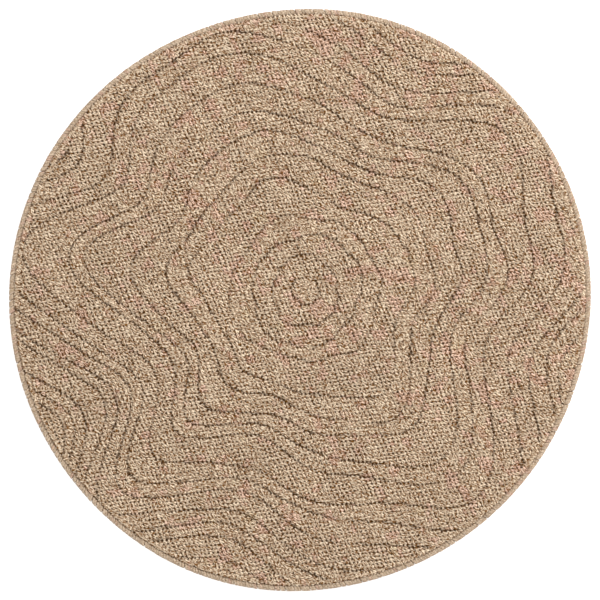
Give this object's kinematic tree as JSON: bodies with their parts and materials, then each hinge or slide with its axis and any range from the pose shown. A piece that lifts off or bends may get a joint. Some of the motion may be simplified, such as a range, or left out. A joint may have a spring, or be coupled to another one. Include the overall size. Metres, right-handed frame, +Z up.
{
  "type": "round outdoor rug",
  "caption": "Round flat outdoor rug of heathered beige loop pile, with sunken growth-ring lines and a serged yarn edge.",
  "frame": {"origin": "on the floor, under the middle of the rug's box", "axes": "+Z up through the thickness, +Y to the top of the picture, +X to its right"},
  "size_m": [1.1959, 1.1966, 0.01],
  "materials": {
    "field_yarn": "matt heathered loop pile, beige with pinkish-brown flecks",
    "edge_yarn": "matt serging yarn, light tan"
  },
  "bodies": {
    "root": {"rug_field": "field_yarn", "edge_binding": "edge_yarn"}
  },
  "joints": []
}
